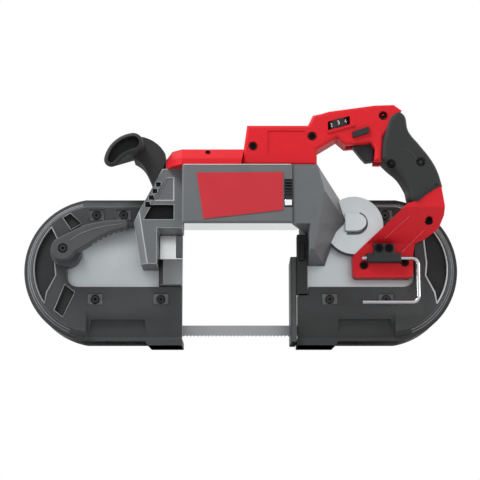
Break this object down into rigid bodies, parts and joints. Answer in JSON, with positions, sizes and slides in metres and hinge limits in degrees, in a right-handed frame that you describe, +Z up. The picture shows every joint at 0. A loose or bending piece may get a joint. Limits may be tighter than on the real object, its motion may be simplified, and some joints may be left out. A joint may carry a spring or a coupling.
{
  "type": "portable band saw",
  "caption": "Hand-held cordless band saw for metal: guarded band wheels on a deck, an open throat with a blade, a motor and gear housing, a rear trigger handle and a front handle.",
  "frame": {"origin": "on the ground under the middle of the saw, which stands on the feet of its guards", "axes": "+X from the idler wheel to the drive wheel, +Y from the handle side to the wheel side, +Z up"},
  "size_m": [0.495, 0.1278, 0.268],
  "materials": {
    "cast_deck": "satin light grey",
    "guard_plastic": "matt dark grey",
    "housing_plastic": "matt mid grey",
    "red_plastic": "satin red",
    "grip_rubber": "matt black",
    "tyre_rubber": "matt",
    "wheel_iron": "machined",
    "gear_steel": "machined",
    "blade_steel": "rolled",
    "chrome_wire": "bright",
    "screw_steel": "dark",
    "motor_core": "lacquered",
    "board_plastic": "gloss",
    "black_plastic": "satin",
    "trim_red": "gloss red",
    "black_coat": "powder coated"
  },
  "bodies": {
    "saw": {"deck_frame": "cast_deck", "left_guard": "guard_plastic", "right_guard": "guard_plastic", "gear_bearings": "gear_steel", "gear_cover": "cast_deck", "motor_housing": "housing_plastic", "stator": "motor_core", "motor_bearings": "gear_steel", "gear_housing": "housing_plastic", "left_support": "housing_plastic", "throat_post": "housing_plastic", "blade": "blade_steel", "left_guide": "gear_steel", "right_guide": "gear_steel", "shoe_holder": "black_coat", "front_handle": "grip_rubber", "top_cover": "red_plastic", "handle_front_half": "red_plastic", "handle_back_half": "red_plastic", "grip_front": "grip_rubber", "grip_back": "grip_rubber", "handle_lower_arm": "red_plastic", "trigger_switch": "black_plastic", "control_board": "board_plastic", "battery_terminal_block": "black_plastic", "label_plate": "trim_red", "hanger_bracket": "black_plastic", "guard_screws": "screw_steel", "handle_screws": "screw_steel"},
    "drive": {"drive_wheel": "wheel_iron", "drive_tyre": "tyre_rubber", "drive_shaft": "gear_steel", "final_gear": "gear_steel"},
    "second": {"second_shaft": "gear_steel", "second_gear": "gear_steel"},
    "first": {"first_shaft": "gear_steel", "bevel_gear": "gear_steel"},
    "rotor": {"rotor_shaft": "gear_steel", "rotor": "motor_core", "cooling_fan": "black_plastic"},
    "slide": {"tension_slide": "gear_steel", "tension_spring": "gear_steel", "idler_bearings": "gear_steel"},
    "idler": {"idler_wheel": "wheel_iron", "idler_tyre": "tyre_rubber"},
    "lever": {"tension_lever": "black_plastic", "tension_cam_shaft": "gear_steel", "lever_screw": "screw_steel"},
    "left_front_roller": {"left_front_roller": "gear_steel"},
    "left_back_roller": {"left_back_roller": "gear_steel"},
    "left_thrust_roller": {"left_thrust_roller": "gear_steel"},
    "right_front_roller": {"right_front_roller": "gear_steel"},
    "right_back_roller": {"right_back_roller": "gear_steel"},
    "right_thrust_roller": {"right_thrust_roller": "gear_steel"},
    "shoe": {"shoe": "black_coat"},
    "latch": {"shoe_latch": "black_plastic"},
    "trigger": {"trigger": "black_plastic"},
    "lock": {"lock_button": "black_plastic"},
    "dial": {"speed_dial": "black_plastic"},
    "hook": {"hanger_hook": "chrome_wire"}
  },
  "joints": [
    {"name": "drive_wheel_spin", "type": "hinge", "parent": "saw", "child": "drive", "pos_m": [0.165, 0.0439, 0.08603], "axis": [0, 1, 0], "continuous": true},
    {"name": "second_shaft_spin", "type": "hinge", "parent": "saw", "child": "second", "pos_m": [0.12938, 0.0239, 0.13555], "axis": [0, 1, 0], "continuous": true},
    {"name": "first_shaft_spin", "type": "hinge", "parent": "saw", "child": "first", "pos_m": [0.09072, -0.0081, 0.164], "axis": [0, 1, 0], "continuous": true},
    {"name": "rotor_spin", "type": "hinge", "parent": "saw", "child": "rotor", "pos_m": [0, -0.0261, 0.164], "axis": [1, 0, 0], "continuous": true},
    {"name": "tension_lever", "type": "hinge", "parent": "saw", "child": "lever", "pos_m": [-0.199, -0.0181, 0.10453], "axis": [0, -1, 0], "range_deg": [0, 180]},
    {"name": "tension_slide", "type": "slide", "parent": "saw", "child": "slide", "axis": [1, 0, 0], "range_m": [0, 0.008]},
    {"name": "idler_wheel_spin", "type": "hinge", "parent": "slide", "child": "idler", "pos_m": [-0.165, 0.0439, 0.08603], "axis": [0, 1, 0], "continuous": true},
    {"name": "left_front_roller_spin", "type": "hinge", "parent": "saw", "child": "left_front_roller", "pos_m": [-0.0765, 0.03745, 0.02], "axis": [0, 0, 1], "continuous": true},
    {"name": "left_back_roller_spin", "type": "hinge", "parent": "saw", "child": "left_back_roller", "pos_m": [-0.0765, 0.05035, 0.02], "axis": [0, 0, 1], "continuous": true},
    {"name": "left_thrust_roller_spin", "type": "hinge", "parent": "saw", "child": "left_thrust_roller", "pos_m": [-0.0765, 0.0439, 0.0325], "axis": [0, 1, 0], "continuous": true},
    {"name": "right_front_roller_spin", "type": "hinge", "parent": "saw", "child": "right_front_roller", "pos_m": [0.077, 0.03745, 0.02], "axis": [0, 0, 1], "continuous": true},
    {"name": "right_back_roller_spin", "type": "hinge", "parent": "saw", "child": "right_back_roller", "pos_m": [0.077, 0.05035, 0.02], "axis": [0, 0, 1], "continuous": true},
    {"name": "right_thrust_roller_spin", "type": "hinge", "parent": "saw", "child": "right_thrust_roller", "pos_m": [0.077, 0.0439, 0.0325], "axis": [0, 1, 0], "continuous": true},
    {"name": "shoe_slide", "type": "slide", "parent": "saw", "child": "shoe", "axis": [0, 0, 1], "range_m": [0, 0.024]},
    {"name": "shoe_latch_press", "type": "slide", "parent": "saw", "child": "latch", "axis": [0, 1, 0], "range_m": [0, 0.0025], "stiffness_N_per_m": 2000},
    {"name": "trigger_pull", "type": "slide", "parent": "saw", "child": "trigger", "axis": [0.9397, 0, 0.342], "range_m": [0, 0.005], "stiffness_N_per_m": 1500, "springref_m": -0.002},
    {"name": "lock_button_push", "type": "slide", "parent": "saw", "child": "lock", "axis": [0, 1, 0], "range_m": [0, 0.004]},
    {"name": "speed_dial_turn", "type": "hinge", "parent": "saw", "child": "dial", "pos_m": [0.11, -0.0436, 0.243], "axis": [-0.2607, 0, 0.9654], "range_deg": [0, 270]},
    {"name": "hanger_hook_swing", "type": "hinge", "parent": "saw", "child": "hook", "pos_m": [0.168, -0.0151, 0.096], "axis": [-1, 0, 0], "range_deg": [0, 100]}
  ],
  "couplings": [
    {"joint": "second_shaft_spin", "follows": "drive_wheel_spin", "ratio": -3.6923},
    {"joint": "first_shaft_spin", "follows": "drive_wheel_spin", "ratio": 6.1538},
    {"joint": "rotor_spin", "follows": "drive_wheel_spin", "ratio": 14.769},
    {"joint": "idler_wheel_spin", "follows": "drive_wheel_spin", "ratio": 1},
    {"joint": "tension_lever", "follows": "tension_slide", "rad_per_m": 392.7},
    {"joint": "left_front_roller_spin", "follows": "drive_wheel_spin", "ratio": 12.6},
    {"joint": "left_back_roller_spin", "follows": "drive_wheel_spin", "ratio": -12.6},
    {"joint": "left_thrust_roller_spin", "follows": "drive_wheel_spin", "ratio": 12.6},
    {"joint": "right_front_roller_spin", "follows": "drive_wheel_spin", "ratio": 12.6},
    {"joint": "right_back_roller_spin", "follows": "drive_wheel_spin", "ratio": -12.6},
    {"joint": "right_thrust_roller_spin", "follows": "drive_wheel_spin", "ratio": 12.6}
  ]
}
